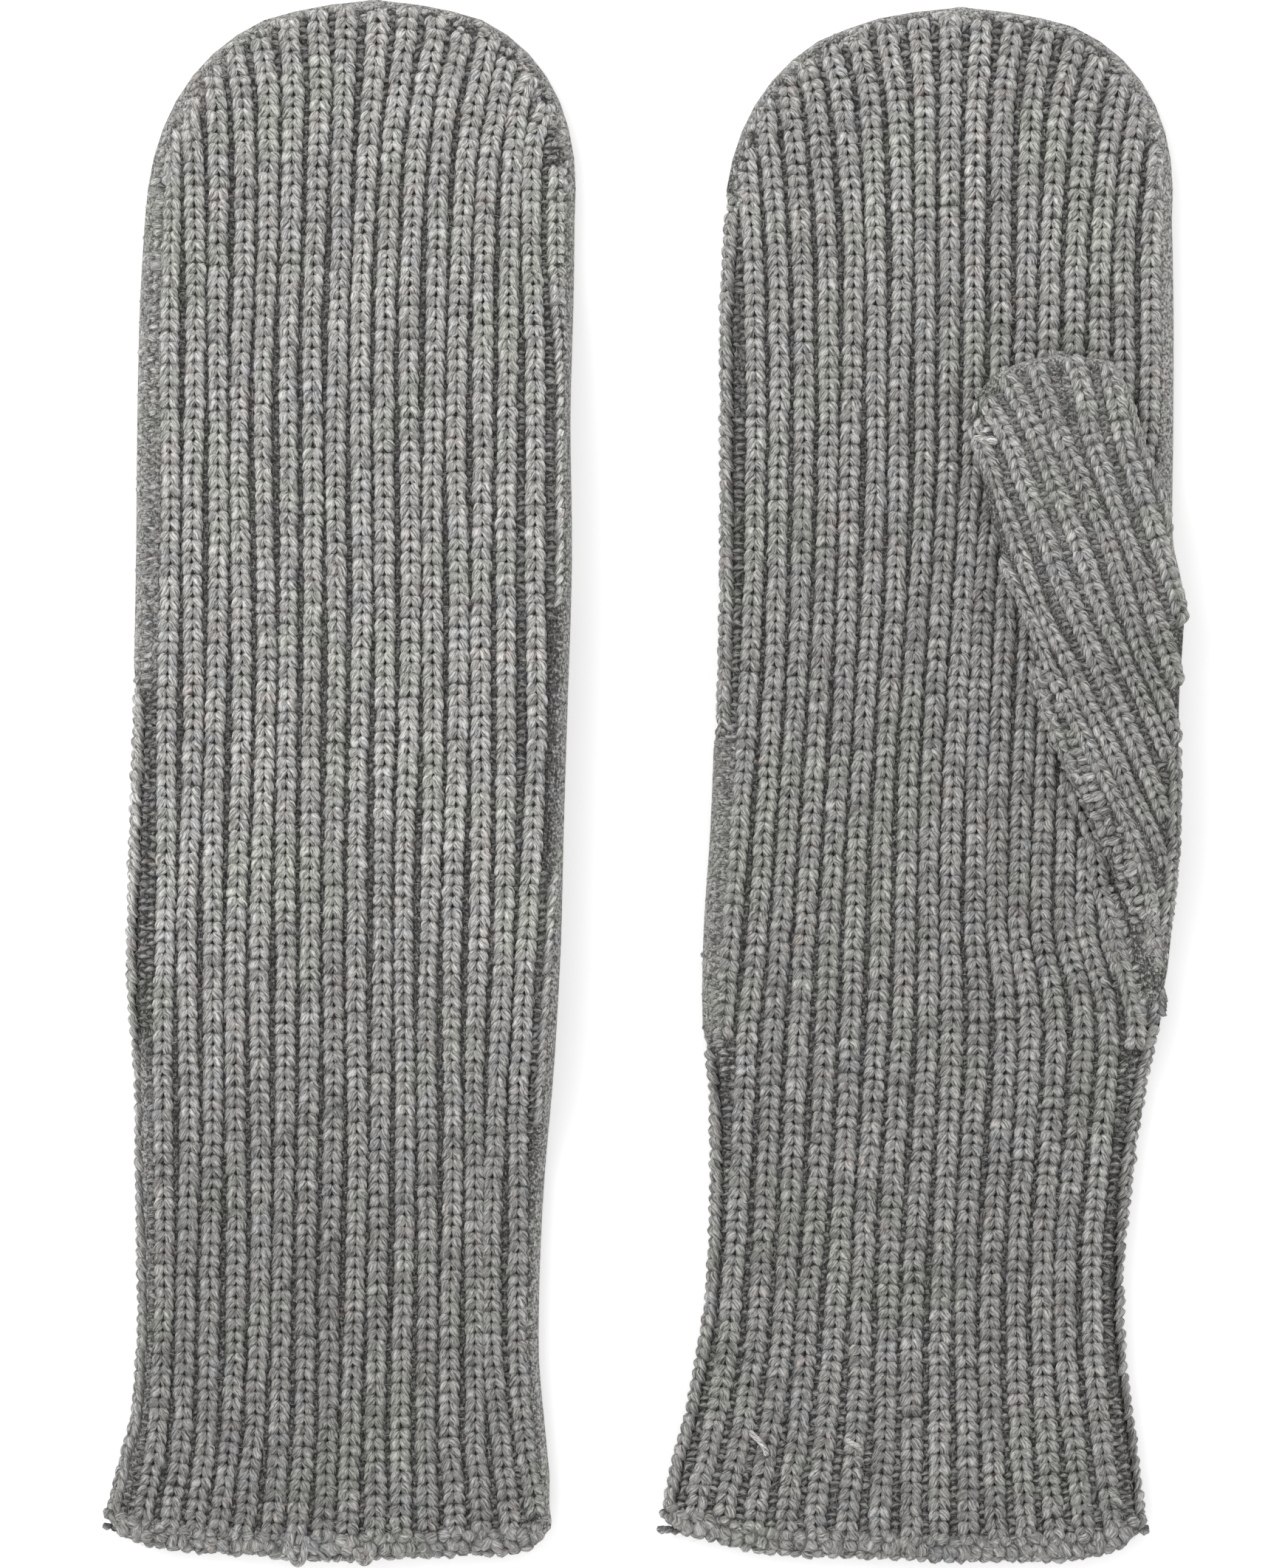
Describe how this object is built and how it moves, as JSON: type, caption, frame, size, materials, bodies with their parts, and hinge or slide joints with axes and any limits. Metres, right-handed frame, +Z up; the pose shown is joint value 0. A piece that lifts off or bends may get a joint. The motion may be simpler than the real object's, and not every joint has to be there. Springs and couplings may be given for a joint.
{
  "type": "pair of baby mittens",
  "caption": "Pair of long ribbed knit baby mittens laid flat, one back up, one palm up with its thumb folded over the palm.",
  "frame": {"origin": "middle of the pair's footprint, on the surface it lies on", "axes": "+Y from the cuff ends to the fingertips, +X from the left mitten to the right one, +Z up from the surface"},
  "size_m": [0.1468, 0.2117, 0.0105],
  "materials": {
    "left_wool": "soft ribbed wool knit, heather grey",
    "right_wool": "soft ribbed wool knit, heather grey",
    "cuff_wool": "bound-off edge in the same wool",
    "thumb_wool": "thumb in the same wool"
  },
  "bodies": {
    "root": {"left_back": "left_wool", "left_palm": "left_wool", "left_edge_back": "cuff_wool", "left_edge_palm": "cuff_wool", "left_thumb_upper": "thumb_wool", "left_thumb_lower": "thumb_wool", "right_palm": "right_wool", "right_back": "right_wool", "right_edge_palm": "cuff_wool", "right_edge_back": "cuff_wool", "right_thumb_upper": "thumb_wool", "right_thumb_lower": "thumb_wool"}
  },
  "joints": []
}
